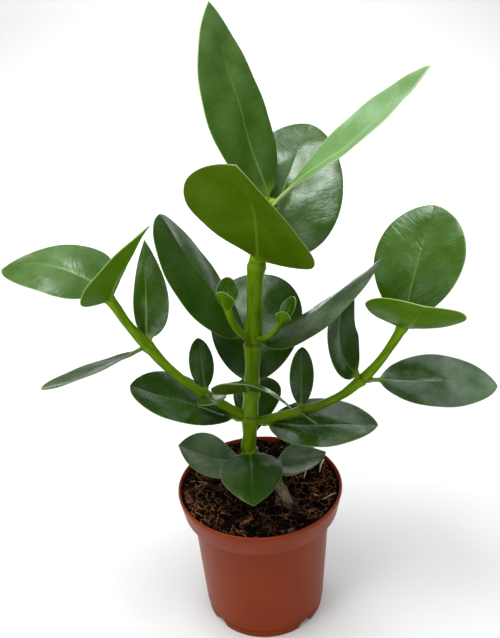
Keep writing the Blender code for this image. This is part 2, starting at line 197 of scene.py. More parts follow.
for name, box in SOFT_BOXES.items():
    bpy.ops.object.light_add(type="AREA", location=box["place"])
    soft_box = bpy.context.object
    soft_box.name = name
    soft_box.data.shape = "SQUARE"
    soft_box.data.size = box["size"]
    soft_box.data.energy = box["power"]
    aim = Vector(box["aim"]) - Vector(box["place"])
    soft_box.rotation_euler = aim.to_track_quat("-Z", "Y").to_euler()

tent = bpy.context.scene.world or bpy.data.worlds.new("light_tent")
bpy.context.scene.world = tent
tent.use_nodes = True
cloth = tent.node_tree.nodes["Background"]
cloth.inputs["Color"].default_value = colour(TENT)
towards = add_node(tent, "TexCoord").outputs["Generated"]
rise = add_node(tent, "SeparateXYZ", [towards]).outputs["Z"]
steepness = add_node(tent, "Math", [rise, rise], operation="MULTIPLY")
glow = add_node(tent, "MapRange", [steepness, 0.0, 1.0, TENT_FOOT_STRENGTH, TENT_TOP_STRENGTH])
set_or_link(tent.node_tree, cloth.inputs["Strength"], glow)


# Nursery pot
# One thin shell of injection-moulded polypropylene in a terracotta colour, with a flared rim band,
# a tapered wall, and a short skirt foot with notches that let water out from under the raised floor.
POT_HEIGHT = 107.0
RIM_RADIUS = 60.0
BAND_FOOT_RADIUS = 57.0
BAND_FOOT = 89.0
NECK_RADIUS = 50.5
FOOT_RADIUS = 44.6
WALL = 1.3
SKIRT_WALL = 2.0
FLOOR_UNDERSIDE = 5.0
PAD_RADIUS = 12.0
POT_STEPS = 128
NOTCHES = 4
NOTCH_RADIUS = 6.4
NOTCH_CENTRE = -1.2
NOTCH_TURN = 39.5
DRAIN_HOLES = 4
DRAIN_RADIUS = 3.5
DRAIN_CIRCLE = 28.0
TERRACOTTA = "#7a2d0b"
TERRACOTTA_PALE = "#7e2f0d"
TERRACOTTA_DEEP = "#762b09"
TERRACOTTA_SHEEN = "#ff9c78"
SOIL_DUST = "#241009"
DUST_SIZE = 0.9
DUST_SPACING = 17.0
DUST_SHARE = 0.45
FLOW_MARK = 30.0
MOULD_GRAIN = 0.7


def seal(merge=False):
    """Ends edit mode with the holes closed and faces outward; merge first joins corners that meet."""
    bpy.ops.mesh.select_all(action="SELECT")
    if merge:
        bpy.ops.mesh.remove_doubles(threshold=1e-6)
    bpy.ops.mesh.fill_holes(sides=0)
    bpy.ops.mesh.normals_make_consistent(inside=False)
    bpy.ops.object.mode_set(mode="OBJECT")


def turned_shell(name, profile, steps):
    """A solid turned about the z axis: a small circle carried along the profile and closed at both ends."""
    deselect_all()
    bpy.ops.mesh.primitive_circle_add(vertices=steps, radius=profile[0][0] * MM)
    shell = bpy.context.object
    shell.name = name
    bpy.ops.object.mode_set(mode="EDIT")
    bpy.ops.mesh.select_all(action="SELECT")
    bpy.ops.transform.translate(value=(0.0, 0.0, profile[0][1] * MM))
    for (radius, height), (next_radius, next_height) in zip(profile, profile[1:]):
        rise = (next_height - height) * MM
        growth = next_radius / radius
        bpy.ops.mesh.extrude_region_move(TRANSFORM_OT_translate={"value": (0.0, 0.0, rise)})
        bpy.ops.transform.resize(value=(growth, growth, 1.0), center_override=(0.0, 0.0, next_height * MM))
    seal()
    return shell


def cut_round_hole(piece, steps, radius, depth, reach, height, turn, rotation=(0.0, 0.0, 0.0)):
    """Cuts a round hole at this reach and turn about the axis."""
    deselect_all()
    bpy.ops.mesh.primitive_cylinder_add(
        vertices=steps, radius=radius * MM, depth=depth * MM, rotation=rotation,
        location=(reach * MM * math.cos(turn), reach * MM * math.sin(turn), height * MM))
    cutter = bpy.context.object
    modifier = piece.modifiers.new("cut", "BOOLEAN")
    modifier.operation = "DIFFERENCE"
    modifier.solver = "EXACT"
    modifier.object = cutter
    select_only(piece)
    bpy.ops.object.modifier_apply(modifier=modifier.name)
    bpy.data.objects.remove(cutter, do_unlink=True)


def finish_piece(piece, slot, *nodes):
    """The piece rides on the body and stands for its nodes, which it hides. slot is not used."""
    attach(piece, "root")
    if nodes:
        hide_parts(*nodes)


pot_profile = [
    (0.4, 0.0),
    (PAD_RADIUS - 0.4, 0.0),
    (PAD_RADIUS, 0.4),
    (PAD_RADIUS + 0.7, FLOOR_UNDERSIDE - 0.3),
    (PAD_RADIUS + 1.1, FLOOR_UNDERSIDE),
    (FOOT_RADIUS - SKIRT_WALL - 0.4, FLOOR_UNDERSIDE),
    (FOOT_RADIUS - SKIRT_WALL - 0.1, FLOOR_UNDERSIDE - 0.3),
    (FOOT_RADIUS - SKIRT_WALL, 0.3),
    (FOOT_RADIUS - SKIRT_WALL + 0.3, 0.0),
    (FOOT_RADIUS - 0.6, 0.0),
    (FOOT_RADIUS - 0.2, 0.15),
    (FOOT_RADIUS, 0.6),
    (FOOT_RADIUS, 6.6),
    (FOOT_RADIUS - 0.2, 7.0),
    (FOOT_RADIUS - 0.15, 7.4),
    (FOOT_RADIUS + 0.7, 7.6),
    (FOOT_RADIUS + 0.95, 8.0),
    (FOOT_RADIUS + 1.0, 8.8),
    (NECK_RADIUS - 0.1, BAND_FOOT - 3.0),
    (NECK_RADIUS + 0.3, BAND_FOOT - 1.6),
    (NECK_RADIUS + 1.6, BAND_FOOT - 0.6),
    (BAND_FOOT_RADIUS - 2.2, BAND_FOOT),
    (BAND_FOOT_RADIUS - 0.9, BAND_FOOT + 0.4),
    (BAND_FOOT_RADIUS, BAND_FOOT + 1.5),
    (RIM_RADIUS - 0.45, POT_HEIGHT - 3.6),
    (RIM_RADIUS - 0.15, POT_HEIGHT - 2.7),
    (RIM_RADIUS, POT_HEIGHT - 1.7),
    (RIM_RADIUS - 0.05, POT_HEIGHT - 0.8),
    (RIM_RADIUS - 0.4, POT_HEIGHT - 0.2),
    (RIM_RADIUS - 0.9, POT_HEIGHT),
    (RIM_RADIUS - WALL - 0.1, POT_HEIGHT - 0.15),
    (RIM_RADIUS - WALL - 0.4, POT_HEIGHT - 0.8),
    (BAND_FOOT_RADIUS - WALL, BAND_FOOT + 2.6),
    (BAND_FOOT_RADIUS - WALL - 1.2, BAND_FOOT + 1.5),
    (NECK_RADIUS - WALL, BAND_FOOT + 0.2),
    (FOOT_RADIUS - 0.9, FLOOR_UNDERSIDE + WALL + 1.6),
    (FOOT_RADIUS - 3.4, FLOOR_UNDERSIDE + WALL),
    (0.4, FLOOR_UNDERSIDE + WALL),
]
pot = turned_shell("nursery_pot", pot_profile, POT_STEPS)
for index in range(NOTCHES):
    turn = math.radians(NOTCH_TURN + 360 * index / NOTCHES)
    cut_round_hole(pot, 48, NOTCH_RADIUS, 12.0, FOOT_RADIUS - SKIRT_WALL, NOTCH_CENTRE, turn,
                   rotation=(0.0, math.pi / 2, turn))
for index in range(DRAIN_HOLES):
    turn = math.radians(360 * index / DRAIN_HOLES)
    cut_round_hole(pot, 32, DRAIN_RADIUS, 4.0, DRAIN_CIRCLE, FLOOR_UNDERSIDE + WALL / 2, turn)
select_only(pot)
bpy.ops.object.shade_smooth_by_angle(angle=math.radians(35))

# Moulded polypropylene: a matt skin that goes paler where it curves away, an even colour with faint
# cloudy flow marks, a very fine pebbled grain from the mould, and a few stuck specks of soil.
plastic = new_material("moulded_terracotta_polypropylene", TERRACOTTA, 0.38, Specular_IOR_Level=0.09,
                       Sheen_Weight=0.08, Sheen_Roughness=0.4, Sheen_Tint=TERRACOTTA_SHEEN)
place = add_node(plastic, "TexCoord").outputs["Object"]
flow = add_node(plastic, "TexNoise", [place, 1 / (FLOW_MARK * MM), 3.0])
flow_share = add_node(plastic, "MapRange", [flow, 0.35, 0.65])
body = add_node(plastic, "Mix", [flow_share, TERRACOTTA_DEEP, TERRACOTTA_PALE], data_type="RGBA")
cells = add_node(plastic, "TexVoronoi", [place, 1 / (DUST_SPACING * MM)])
speck = DUST_SIZE / DUST_SPACING
near = add_node(plastic, "MapRange", [cells, speck * 0.45, speck * 0.75, 0.85, 0.0])
pick = add_node(plastic, "SeparateColor", [cells.outputs["Color"]])
some = add_node(plastic, "Math", [pick, DUST_SHARE], operation="LESS_THAN")
specks = add_node(plastic, "Math", [near, some], operation="MULTIPLY")
skin = add_node(plastic, "Mix", [specks, body, SOIL_DUST], data_type="RGBA")
finish_with(plastic, "Base Color", skin)
grain = add_node(plastic, "TexNoise", [place, 1 / (MOULD_GRAIN * MM), 2.0])
grain_bump = add_node(plastic, "Bump", {"Height": grain, "Strength": 0.25, "Distance": 0.0001})
finish_with(plastic, "Normal", grain_bump)
pot.data.materials.append(plastic)
finish_piece(pot, "pot_plastic", "pot")


# Potting soil
# Nearly black damp peat that fills the pot to the rim, matted with reddish coir fibres and crumbs,
# with a few bark flakes and pale straws on top. It is pressed in by hand, so it is lumpy.
SOIL_LEVEL = 103.0
SOIL_RADIUS = 57.4
SOIL_FLOOR = 6.6
SOIL_STEPS = 240
SOIL_RINGS = 90
SOIL_EDGE = 56.6
BROAD_LUMP = 19.0
BROAD_RISE = 2.5
FINE_LUMP = 4.6
FINE_RISE = 1.5
BANK_START = 45.0
BANK_WIDTH = 12.0
BANK_RISE = 2.0
TRUNK_FOOT = (19.0, -23.0)
MOUND_RISE = 2.6
MOUND_SPREAD = 70.0
CLOD = (-3.0, -39.0)
CLOD_RADIUS = 10.0
CLOD_RISE = 3.2
CRUMB_COUNT = 900
CRUMB_LEAST = 0.6
CRUMB_SPREAD = 1.9
MAT_COUNT = 650
MAT_LENGTH = (3.5, 14)
MAT_RADIUS = (0.10, 0.30)
MAT_BEND = 3.2
MAT_LIFT = (0.2, 1.8)
CURL_COUNT = 2600
CURL_LENGTH = (3.5, 11)
CURL_RADIUS = (0.15, 0.48)
CURL_BEND = 2.4
CURL_LIFT = (0.3, 1.6)
CURL_PATCH = 10.0
CHIP_COUNT = 22
CHIP_SIZE = (1.2, 3.0)
PEAT_SHADE_BLACK = "#020101"
PEAT_BROWN = "#0c0604"
PEAT_RED = "#1d0f09"
FIBRE_DARK = "#0d0705"
FIBRE_PALE = "#95603f"
CHIP_DARK = "#24160f"
CHIP_PALE = "#6a4534"
STRAW_DARK = "#865f38"
STRAW_PALE = "#d9bd8e"
HOLLOW_SHADE_SIZE = 4.5
CRUMB_GRAIN = 1.4
FIBRE_DIRT = 2.5
CHIP_LAYER = 2.2


def near_clod(x, y):
    return math.exp(-((x - CLOD[0]) ** 2 + (y - CLOD[1]) ** 2) / CLOD_RADIUS ** 2)


def soil_height(x, y):
    """Height of the lumpy soil: it mounds at the trunk and at the clod, and banks up to the wall."""
    broad = noise.fractal(Vector((x / BROAD_LUMP, y / BROAD_LUMP, 3.1)), 0.8, 2.1, 3)
    crumbly = noise.fractal(Vector((x / FINE_LUMP, y / FINE_LUMP, 8.4)), 0.7, 2.2, 4)
    mound = MOUND_RISE * math.exp(-((x - TRUNK_FOOT[0]) ** 2 + (y - TRUNK_FOOT[1]) ** 2) / MOUND_SPREAD)
    height = SOIL_LEVEL - 0.6 + BROAD_RISE * broad + FINE_RISE * crumbly + mound
    height += CLOD_RISE * near_clod(x, y)
    bank = BANK_RISE * max(0.0, (math.hypot(x, y) - BANK_START) / BANK_WIDTH) ** 2
    return min(height + bank, POT_HEIGHT - 0.8)


def smooth_all(piece):
    select_only(piece)
    bpy.ops.object.shade_smooth()


def material_of(piece, material):
    piece.data.materials.clear()
    piece.data.materials.append(material)


def join_all(pieces, name):
    """Joins small things into one piece and applies its place, turn and scale."""
    deselect_all()
    for item in pieces:
        item.select_set(True)
    bpy.context.view_layer.objects.active = pieces[0]
    bpy.ops.object.join()
    joined = bpy.context.object
    joined.name = name
    bpy.ops.object.transform_apply(location=True, rotation=True, scale=True)
    return joined


soil_profile = [
    (0.4, SOIL_FLOOR),
    (FOOT_RADIUS - 3.8, SOIL_FLOOR),
    (FOOT_RADIUS - 1.5, SOIL_FLOOR + 1.7),
    (NECK_RADIUS - WALL - 0.6, BAND_FOOT + 0.3),
    (BAND_FOOT_RADIUS - WALL - 1.8, BAND_FOOT + 1.8),
    (BAND_FOOT_RADIUS - WALL - 0.2, BAND_FOOT + 2.9),
    (SOIL_RADIUS - 0.2, SOIL_LEVEL - 1.6),
    (SOIL_RADIUS, SOIL_LEVEL - 0.6),
]
for ring in range(SOIL_RINGS):
    share = 1 - ring / SOIL_RINGS
    soil_profile.append((max(0.4, (SOIL_RADIUS + 0.2) * share), SOIL_LEVEL))
soil = turned_shell("potting_soil", soil_profile, SOIL_STEPS)
for vertex in soil.data.vertices:
    if vertex.co.z > (SOIL_LEVEL - 0.5) * MM:
        vertex.co.z = soil_height(vertex.co.x / MM, vertex.co.y / MM) * MM
smooth_all(soil)

# Damp peat: dark brown, quite matt, with a coarse grain, and black patches spread by noise that are painted
# shade standing for the soil's recesses.
peat = new_material("damp_peat", PEAT_BROWN, 0.9, Specular_IOR_Level=0.03)
place = add_node(peat, "TexCoord").outputs["Object"]
# Painted shade: black patches for the soil's recesses, placed by noise.
painted_hollow_shade = add_node(peat, "TexNoise", [place, 1 / (HOLLOW_SHADE_SIZE * MM), 6.0, 0.65])
hollow_shade_share = add_node(peat, "MapRange", [painted_hollow_shade, 0.42, 0.66])
fine = add_node(peat, "TexNoise", [place, 1 / (CRUMB_GRAIN * MM), 4.0])
fine_share = add_node(peat, "MapRange", [fine, 0.55, 0.72])
deep = add_node(peat, "Mix", [hollow_shade_share, PEAT_SHADE_BLACK, PEAT_BROWN], data_type="RGBA")
ruddy = add_node(peat, "Mix", [fine_share, deep, PEAT_RED], data_type="RGBA")
finish_with(peat, "Base Color", ruddy)
peat_bump = add_node(peat, "Bump", {"Height": fine, "Strength": 0.9, "Distance": 0.0009})
finish_with(peat, "Normal", peat_bump)
material_of(soil, peat)
finish_piece(soil, "potting_soil", "soil")

rng = random.Random(11)


def spot_on_soil(most=56.0):
    """A place spread evenly over the soil, in millimetres."""
    radius = most * math.sqrt(rng.random())
    turn = rng.uniform(0, 2 * math.pi)
    return radius * math.cos(turn), radius * math.sin(turn)


def spot_on_clod():
    turn = rng.uniform(0, 2 * math.pi)
    radius = CLOD_RADIUS * rng.random() ** 0.7
    return CLOD[0] + 1.2 * radius * math.cos(turn), CLOD[1] + radius * math.sin(turn)


# Crumbs of peat, each a small lump sunk partly into the soil, heaped most on one loose clod
crumbs = []
for index in range(CRUMB_COUNT):
    x, y = spot_on_soil() if index % 7 else spot_on_clod()
    size = CRUMB_LEAST + CRUMB_SPREAD * rng.random() ** 2.4
    if math.hypot(x, y) + size > SOIL_EDGE:
        continue
    deselect_all()
    bpy.ops.mesh.primitive_ico_sphere_add(
        subdivisions=2 if size > 1.0 else 1, radius=size * MM,
        location=(x * MM, y * MM, (soil_height(x, y) + 0.1 * size) * MM),
        rotation=(rng.uniform(0, 6), rng.uniform(0, 6), rng.uniform(0, 6)))
    crumb = bpy.context.object
    stretch = Vector((rng.uniform(0.7, 1.2), rng.uniform(0.6, 1.1), rng.uniform(0.45, 0.8)))
    for vertex in crumb.data.vertices:
        lump = 1 + 0.5 * noise.noise(vertex.co / (size * MM) * 1.6 + Vector((index, 0, 0)))
        vertex.co = vertex.co * stretch * lump
    crumbs.append(crumb)
crumbs = join_all(crumbs, "peat_crumbs")
smooth_all(crumbs)
material_of(crumbs, peat)
finish_piece(crumbs, "potting_soil")


def strand(points, radii, sides):
    """A thin closed strand through these points, as corner points and faces."""
    corners, faces = [], []
    for index, point in enumerate(points):
        ahead = points[min(index + 1, len(points) - 1)] - points[max(index - 1, 0)]
        ahead.normalize()
        across = ahead.cross(Vector((0, 0, 1)))
        across = across.normalized() if across.length > 0.01 else Vector((1, 0, 0))
        up = across.cross(ahead)
        for side in range(sides):
            turn = 2 * math.pi * side / sides
            corners.append(point + radii[index] * (math.cos(turn) * across + math.sin(turn) * up))
    for row in range(len(points) - 1):
        for side in range(sides):
            after = (side + 1) % sides
            faces.append((row * sides + side, row * sides + after,
                          (row + 1) * sides + after, (row + 1) * sides + side))
    faces.append(tuple(reversed(range(sides))))
    last = (len(points) - 1) * sides
    faces.append(tuple(range(last, last + sides)))
    return corners, faces


def strands_piece(name, strands, material, slot):
    """Many thin strands as one finished piece, each with its own shade in the shade attribute."""
    corners, faces, shades = [], [], []
    for strand_corners, strand_faces, shade in strands:
        start = len(corners)
        corners += [corner * MM for corner in strand_corners]
        faces += [tuple(start + index for index in face) for face in strand_faces]
        shades += [shade] * len(strand_corners)
    mesh = bpy.data.meshes.new(name)
    mesh.from_pydata(corners, [], faces)
    mesh.attributes.new("shade", "FLOAT", "POINT").data.foreach_set("value", shades)
    piece = bpy.data.objects.new(name, mesh)
    bpy.context.scene.collection.objects.link(piece)
    select_only(piece)
    bpy.ops.object.mode_set(mode="EDIT")
    seal()
    smooth_all(piece)
    material_of(piece, material)
    finish_piece(piece, slot)


def tint_by_shade(material, dark, pale):
    """Runs a material from dark to pale by each strand's own shade, and gives the node that mixes it."""
    shade = add_node(material, "Attribute", attribute_name="shade").outputs["Fac"]
    tint = add_node(material, "Mix", [shade, dark, pale], data_type="RGBA")
    finish_with(material, "Base Color", tint)
    return tint


def lying_strand(x, y, length, radius, bend, lift, steps=7):
    """A fibre that lies on the soil and bends sideways as it goes."""
    turn = rng.uniform(0, 2 * math.pi)
    turning = rng.uniform(-bend, bend)
    points = []
    for step in range(steps):
        share = step / (steps - 1)
        rise = lift * math.sin(math.pi * share) * rng.uniform(0.5, 1.0)
        if math.hypot(x, y) > SOIL_EDGE:
            break
        points.append(Vector((x, y, soil_height(x, y) + 0.5 * radius + rise)))
        x += length / steps * math.cos(turn)
        y += length / steps * math.sin(turn)
        turn += turning / steps + rng.uniform(-0.25, 0.25)
    radii = [radius * (0.55 + 0.45 * math.sin(math.pi * (step + 0.7) / (len(points) + 0.4)))
             for step in range(len(points))]
    return points, radii


# Coir: long thin fibres everywhere, and shorter, thicker curled ones in brown patches and on the clod
fibres = []
for index in range(MAT_COUNT):
    x, y = spot_on_soil()
    thick = rng.uniform(*MAT_RADIUS)
    points, radii = lying_strand(x, y, rng.uniform(*MAT_LENGTH), thick, MAT_BEND, rng.uniform(*MAT_LIFT))
    if len(points) > 3:
        fibres.append((*strand(points, radii, 4), 0.9 * rng.random() ** 2))
for index in range(CURL_COUNT):
    x, y = spot_on_soil() if index % 4 else spot_on_clod()
    brown = 1.5 * noise.noise(Vector((x / CURL_PATCH, y / CURL_PATCH, 5.7))) + 0.9 * (x / 48) ** 2 - 0.12
    brown += 0.45 * near_clod(x, y)
    if brown < 0.08:
        continue
    points, radii = lying_strand(x, y, rng.uniform(*CURL_LENGTH), rng.uniform(*CURL_RADIUS), CURL_BEND,
                                 rng.uniform(*CURL_LIFT), 6)
    if len(points) > 3:
        fibres.append((*strand(points, radii, 4), min(1.0, 2.0 * brown * rng.random() ** 1.4)))

# Coir and fine roots: dry, matt threads from nearly black to reddish brown, dirty with peat.
thread = new_material("coir_thread", FIBRE_DARK, 0.8, Specular_IOR_Level=0.1)
tint = tint_by_shade(thread, FIBRE_DARK, FIBRE_PALE)
place = add_node(thread, "TexCoord").outputs["Object"]
dirt = add_node(thread, "TexNoise", [place, 1 / (FIBRE_DIRT * MM), 2.0])
dirt_share = add_node(thread, "MapRange", [dirt, 0.4, 0.6, 0.0, 0.7])
dirty = add_node(thread, "Mix", [dirt_share, tint, PEAT_BROWN], data_type="RGBA")
finish_with(thread, "Base Color", dirty)
strands_piece("coir_fibres", fibres, thread, "potting_soil")

# Bark flakes: a few flat chips that lie tilted in the peat
chips = []
for index in range(CHIP_COUNT):
    x, y = spot_on_soil(52.0)
    size = rng.uniform(*CHIP_SIZE)
    deselect_all()
    bpy.ops.mesh.primitive_cube_add(
        size=2 * MM, location=(x * MM, y * MM, (soil_height(x, y) + 0.3) * MM),
        rotation=(rng.uniform(-0.5, 0.5), rng.uniform(-0.5, 0.5), rng.uniform(0, 6)))
    chip = bpy.context.object
    chip.scale = (size, size * rng.uniform(0.3, 0.6), size * rng.uniform(0.12, 0.22))
    bpy.ops.object.transform_apply(location=False, rotation=False, scale=True)
    bpy.ops.object.mode_set(mode="EDIT")
    bpy.ops.mesh.select_all(action="SELECT")
    bpy.ops.mesh.subdivide(number_cuts=2, fractal=0.6, seed=index)
    bpy.ops.object.mode_set(mode="OBJECT")
    for vertex in chip.data.vertices:
        vertex.co *= 1 + 0.22 * noise.noise(vertex.co / (0.9 * MM) + Vector((0, index, 0)))
    chips.append(chip)
chips = join_all(chips, "bark_chips")
smooth_all(chips)

# Bark: dull brown flakes, layered dark and pale, with a rough surface.
bark_chip = new_material("bark_chip", CHIP_DARK, 0.75, Specular_IOR_Level=0.3)
place = add_node(bark_chip, "TexCoord").outputs["Object"]
layers = add_node(bark_chip, "TexNoise", [place, 1 / (CHIP_LAYER * MM), 5.0])
layer_share = add_node(bark_chip, "MapRange", [layers, 0.35, 0.7])
layered = add_node(bark_chip, "Mix", [layer_share, CHIP_DARK, CHIP_PALE], data_type="RGBA")
finish_with(bark_chip, "Base Color", layered)
chip_bump = add_node(bark_chip, "Bump", {"Height": layers, "Strength": 0.6, "Distance": 0.0004})
finish_with(bark_chip, "Normal", chip_bump)
material_of(chips, bark_chip)
finish_piece(chips, "potting_soil")

# Pale straws: a few flat splinters on top, two of them standing up at the right
STRAWS = [
    dict(start=(45, 12), heading=65, length=13, thick=0.6, lift=3.8, pale=1.0),
    dict(start=(33, 7), heading=70, length=7, thick=0.4, lift=1.4, pale=0.7),
    dict(start=(42, -20), heading=22, length=13, thick=0.55, lift=1.4, pale=0.35),
    dict(start=(36, -10), heading=-40, length=6, thick=0.6, lift=1.0, pale=0.4),
    dict(start=(28, 2), heading=-20, length=8, thick=0.3, lift=1.2, pale=0.3),
    dict(start=(-52, 11), heading=-12, length=14, thick=0.28, lift=1.4, pale=0.3),
    dict(start=(-49, 5), heading=15, length=12, thick=0.25, lift=1.3, pale=0.2),
    dict(start=(-40, -12), heading=80, length=7, thick=0.3, lift=1.0, pale=0.1),
]
straws = []
for item in STRAWS:
    turn = math.radians(item["heading"])
    points, radii = [], []
    for share, lift, thick in ((0, 0.25, 0.7), (0.35, 0.8, 1.0), (0.7, 1.0, 1.0), (1, 0.8, 0.5)):
        x = item["start"][0] + item["length"] * share * math.cos(turn)
        y = item["start"][1] + item["length"] * share * math.sin(turn)
        points.append(Vector((x, y, soil_height(x, y) + lift * item["lift"])))
        radii.append(thick * item["thick"])
    straws.append((*strand(points, radii, 5), item["pale"]))

# Dry straw: dull and pale, each splinter weathered by its own amount.
straw = new_material("dry_straw", STRAW_DARK, 0.7, Specular_IOR_Level=0.3)
tint_by_shade(straw, STRAW_DARK, STRAW_PALE)
strands_piece("pale_straws", straws, straw, "potting_soil")


# Trunk and stem
# One woody stem: a grey-brown trunk leaves the soil right of the centre, leans left and then rises as
# a green stem. Each leaf pair clasps it at a swollen joint with a thin scar line round it.

# Each joint: its name, its place and the stem's radius there. A joint named pair has a collar.
STEM = [
    ("root_end", (24, -28, 74), 4.5),
    ("soil_line", (19, -23, 101), 5.0),
    ("trunk", (13, -13.5, 115), 3.8),
    ("lowest_leaves", (3, -7, 126), 4.4),
    ("second_pair", (-6, 0, 135), 5.4),
    ("stem_low", (-5.5, 0, 149), 4.7),
    ("fork_pair", (-4.5, 0, 162.5), 5.6),
    ("centre_pair", (-2.7, 0, 182), 5.2),
    ("stem_middle", (-1, 0, 201), 4.9),
    ("middle_pair", (0, 0, 219.5), 5.6),
    ("stem_high", (2.5, 0, 248), 4.9),
    ("upper_pair", (5, 0, 275.5), 5.4),
    ("stem_top", (10, 0, 295), 4.3),
    ("top_pair", (15.5, 0, 313), 4.4),
    ("top_bud", (17, 0, 319), 2.2),
]
LEFT_BRANCH = [
    ("left_start", (-4.5, 0, 161.5), 3.2),
    ("left_small_pair", (-34, -4, 185.5), 3.4),
    ("left_bend", (-52, -6, 203), 2.9),
    ("left_middle_pair", (-69, -8, 227), 3.7),
    ("left_rise", (-80, -11, 246), 2.9),
    ("left_end_pair", (-89, -14, 265.5), 3.3),
    ("left_bud", (-92, -15.5, 271), 2.2),
]
RIGHT_BRANCH = [
    ("right_start", (-4.5, 0, 158.5), 3.2),
    ("right_small_pair", (31, -3, 168), 3.3),
    ("right_bend", (53, -5, 177), 2.8),
    ("right_middle_pair", (72, -7, 192.5), 3.6),
    ("right_rise", (87, -10, 213), 2.8),
    ("right_end_pair", (97, -12, 233), 3.3),
    ("right_bud", (99.5, -13, 239), 2.2),
]
STEM_COLUMNS = 32
STEPS_PER_JOINT = 14
COLLAR_SWELL = 0.9
COLLAR_LENGTH = 2.2
TIP_LENGTH = 2.5
SCAR_DEPTH = 0.35
SCAR_WIDTH = 0.7
RIDGE_HEIGHT = 0.3
WOODY_BELOW = 118.0
STREAK_WIDTH = 2.6
STREAK_LENGTH = 16.0
WOOD_FIBRE_WIDTH = 0.8
WOOD_FIBRE_LENGTH = 6.0
BARK_YOUNG = "#729802"
BARK_GREEN = "#4a6401"
BARK_STREAK = "#3a5400"
BARK_RIDGE_HIGHLIGHT = "#7f9a3c"
BARK_SCAR = "#33220c"
TRUNK_DARK = "#1d140e"
TRUNK_PALE = "#9c8a70"
HUSK_COUNT = 150
HUSK_REACH = (5.0, 11.5)
HUSK_RADIUS = (0.3, 0.7)


def unit(vectors):
    return vectors / np.linalg.norm(vectors, axis=-1, keepdims=True)


def centre_line(joints, steps):
    """A smooth line through the joints, its radii, the distance run, and the distance at each joint."""
    deselect_all()
    bpy.ops.curve.primitive_bezier_curve_add()
    line = bpy.context.object
    spline = line.data.splines[0]
    spline.bezier_points.add(len(joints) - 2)
    for knot, (_, spot, _) in zip(spline.bezier_points, joints):
        knot.co = spot
        knot.handle_left_type = "AUTO"
        knot.handle_right_type = "AUTO"
    bpy.context.view_layer.update()
    points, radii = [], []
    for first, second, low, high in zip(spline.bezier_points, spline.bezier_points[1:], joints, joints[1:]):
        points += geometry.interpolate_bezier(first.co, first.handle_right, second.handle_left,
                                              second.co, steps + 1)[:-1]
        for step in range(steps):
            share = step / steps
            share = share * share * (3 - 2 * share)
            radii.append(low[2] + (high[2] - low[2]) * share)
    points.append(Vector(joints[-1][1]))
    radii.append(joints[-1][2])
    bpy.data.objects.remove(line, do_unlink=True)
    points = np.array([tuple(point) for point in points])
    run = np.concatenate([[0.0], np.cumsum(np.linalg.norm(np.diff(points, axis=0), axis=1))])
    return points, np.array(radii), run, run[::steps]


def wrapped(name, columns, rows, shape, upper_columns=0):
    """A grid wrapped into a closed tube.

    shape(column, row) gives the points in millimetres and their attributes. The faces past
    upper_columns take the second material.
    """
    deselect_all()
    bpy.ops.mesh.primitive_grid_add(x_subdivisions=columns, y_subdivisions=rows, size=2.0)
    piece = bpy.context.object
    piece.name = name
    mesh = piece.data
    flat = np.empty(len(mesh.vertices) * 3)
    mesh.vertices.foreach_get("co", flat)
    flat = flat.reshape(-1, 3)
    column = np.rint((flat[:, 0] + 1) / 2 * columns).astype(int)
    row = np.rint((flat[:, 1] + 1) / 2 * rows).astype(int)
    points, attributes = shape(column, row)
    for face in mesh.polygons:
        middle = sum(column[index] for index in face.vertices) / len(face.vertices)
        face.material_index = int(upper_columns > 0 and middle > upper_columns)
    mesh.vertices.foreach_set("co", (points * MM).ravel())
    for key, values in attributes.items():
        if values.ndim == 2:
            mesh.attributes.new(key, "FLOAT_VECTOR", "POINT").data.foreach_set("vector", values.ravel())
        else:
            mesh.attributes.new(key, "FLOAT", "POINT").data.foreach_set("value", values)
    bpy.ops.object.mode_set(mode="EDIT")
    seal(merge=True)
    smooth_all(piece)
    return piece


def bark_rod(name, joints, columns):
    """A round tapered stem along its joints, with a collar and a scar line at each leaf pair."""
    line, radii, run, joint_run = centre_line(joints, STEPS_PER_JOINT)
    ahead = unit(np.gradient(line, axis=0))
    back = np.array((0.0, 1.0, 0.0))
    side = unit(back - ahead * (ahead @ back)[:, None])
    up = np.cross(ahead, side)
    pair_runs = [there for (joint, _, _), there in zip(joints, joint_run) if joint.endswith("_pair")]
    collar = sum((np.exp(-((run - there + 0.6) / COLLAR_LENGTH) ** 2) for there in pair_runs), 0 * run)
    scar = sum((np.exp(-((run - there - 2.6) / SCAR_WIDTH) ** 2) for there in pair_runs), 0 * run)
    tip = np.clip((run[-1] - run) / TIP_LENGTH, 0, 1)
    closing = np.sqrt(np.clip(1 - (1 - tip) ** 2, 0.02, 1))

    def shape(column, row):
        turn = 2 * math.pi * column / columns
        ridge = np.exp(-((np.abs(np.sin(turn)) - 1) / 0.012) ** 2)
        lumps = 0.10 * np.sin(3 * turn + run[row] / 5.0) + 0.08 * np.sin(run[row] / 3.1 + turn)
        radius = radii[row] + COLLAR_SWELL * collar[row] - SCAR_DEPTH * scar[row] + lumps
        radius = (radius + RIDGE_HEIGHT * ridge * (1 - 0.6 * collar[row])) * closing[row]
        ring = np.cos(turn)[:, None] * side[row] + np.sin(turn)[:, None] * up[row]
        around = np.stack([radii[row] * np.cos(turn), radii[row] * np.sin(turn), run[row]], axis=1)
        age = 1 - np.clip(run[row] / run[-1], 0, 1)
        return line[row] + radius[:, None] * ring, {"around": around, "scar": scar[row],
                                                     "ridge": ridge, "age": age}

    return wrapped(name, columns, len(run) - 1, shape)
